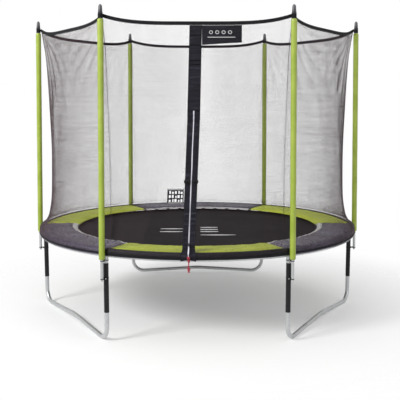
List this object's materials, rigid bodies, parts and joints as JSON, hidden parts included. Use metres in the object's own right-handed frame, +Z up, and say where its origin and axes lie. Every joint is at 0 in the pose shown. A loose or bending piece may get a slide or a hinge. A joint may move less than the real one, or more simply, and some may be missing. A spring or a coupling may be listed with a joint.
{
  "type": "backyard trampoline",
  "caption": "Round backyard trampoline on bent tube legs, with a spring pad, foam-sleeved poles and a net enclosure with a zipped door.",
  "frame": {"origin": "on the ground, under the centre of the jumping mat", "axes": "+Z up, -Y towards the door, +X through the right-hand pole as seen from the door"},
  "size_m": [3.1696, 3.0881, 2.7506],
  "materials": {
    "galvanised_tube": "satin",
    "zinc_steel": "satin",
    "lime_sleeve": "satin",
    "black_sleeve": "satin",
    "grey_cap": "gloss",
    "black_plastic": "matte",
    "mat_fabric": "matte",
    "lime_vinyl": "satin",
    "black_vinyl": "satin",
    "net_mesh": "matte",
    "black_webbing": "matte",
    "zip_tape": "satin",
    "slider_metal": "satin",
    "red_cord": "matte"
  },
  "bodies": {
    "frame": {"cap_straps": "black_webbing", "clamp_bolts": "zinc_steel", "clamp_nuts": "zinc_steel", "door_blank_panel": "black_webbing", "door_header_strip": "black_webbing", "foam_sleeve_1": "lime_sleeve", "foam_sleeve_2": "lime_sleeve", "foam_sleeve_3": "lime_sleeve", "foam_sleeve_4": "lime_sleeve", "foam_sleeve_5": "lime_sleeve", "foam_sleeve_6": "lime_sleeve", "frame_rail_1": "galvanised_tube", "frame_rail_2": "galvanised_tube", "frame_rail_3": "galvanised_tube", "frame_rail_4": "galvanised_tube", "frame_rail_5": "galvanised_tube", "frame_rail_6": "galvanised_tube", "leg_base_back": "galvanised_tube", "leg_base_left": "galvanised_tube", "leg_base_right": "galvanised_tube", "leg_sleeves": "black_sleeve", "leg_uprights": "galvanised_tube", "net_above_door": "net_mesh", "net_back": "net_mesh", "net_back_left": "net_mesh", "net_back_right": "net_mesh", "net_beside_door_left": "net_mesh", "net_beside_door_right": "net_mesh", "net_door_hem": "net_mesh", "net_front_left": "net_mesh", "net_front_right": "net_mesh", "net_top_band": "black_webbing", "pad_back": "black_vinyl", "pad_back_left": "lime_vinyl", "pad_back_right": "lime_vinyl", "pad_front": "lime_vinyl", "pad_front_left": "black_vinyl", "pad_front_right": "black_vinyl", "pole_caps": "grey_cap", "pole_clamps_lower": "black_plastic", "pole_clamps_upper": "black_plastic", "pole_lower_tubes": "galvanised_tube", "pole_upper_tubes": "galvanised_tube", "springs": "zinc_steel"},
    "mat": {"jumping_mat": "mat_fabric", "mat_webbing_tabs": "black_webbing", "mat_v_rings": "zinc_steel"},
    "slider": {"zip_slider": "slider_metal"},
    "cord": {"zip_pull_cord": "red_cord"},
    "door_left": {"door_flap_left": "net_mesh", "door_strip_left": "black_webbing", "zip_half_left": "zip_tape", "door_toggle_left": "black_plastic", "door_tag": "black_webbing"},
    "door_right": {"door_flap_right": "net_mesh", "door_strip_right": "black_webbing", "zip_half_right": "zip_tape", "door_toggle_right": "black_plastic"}
  },
  "joints": [
    {"name": "mat_bounce", "type": "slide", "parent": "frame", "child": "mat", "axis": [0, 0, 1], "range_m": [-0.2, 0], "stiffness_N_per_m": 6000, "springref_m": 0.01, "deforming": ["springs"]},
    {"name": "zip_slide", "type": "slide", "parent": "frame", "child": "slider", "axis": [0.0405, 0.0905, 0.9951], "range_m": [0, 0.98]},
    {"name": "door_left_swing", "type": "hinge", "parent": "frame", "child": "door_left", "pos_m": [-0.45, -1.47, 0.835], "axis": [0.3311, 0.0855, 0.9397], "range_deg": [0, 61]},
    {"name": "door_right_swing", "type": "hinge", "parent": "frame", "child": "door_right", "pos_m": [0.45, -1.47, 0.835], "axis": [0.3753, -0.084, -0.9231], "range_deg": [0, 61]},
    {"name": "pull_cord_swing", "type": "hinge", "parent": "slider", "child": "cord", "pos_m": [-0.06976, -1.48662, 0.84658], "axis": [-1, 0, 0], "range_deg": [0, 70]}
  ],
  "couplings": [
    {"joint": "door_left_swing", "follows": "zip_slide", "rad_per_m": 1.0686},
    {"joint": "door_right_swing", "follows": "zip_slide", "rad_per_m": 1.0686}
  ]
}
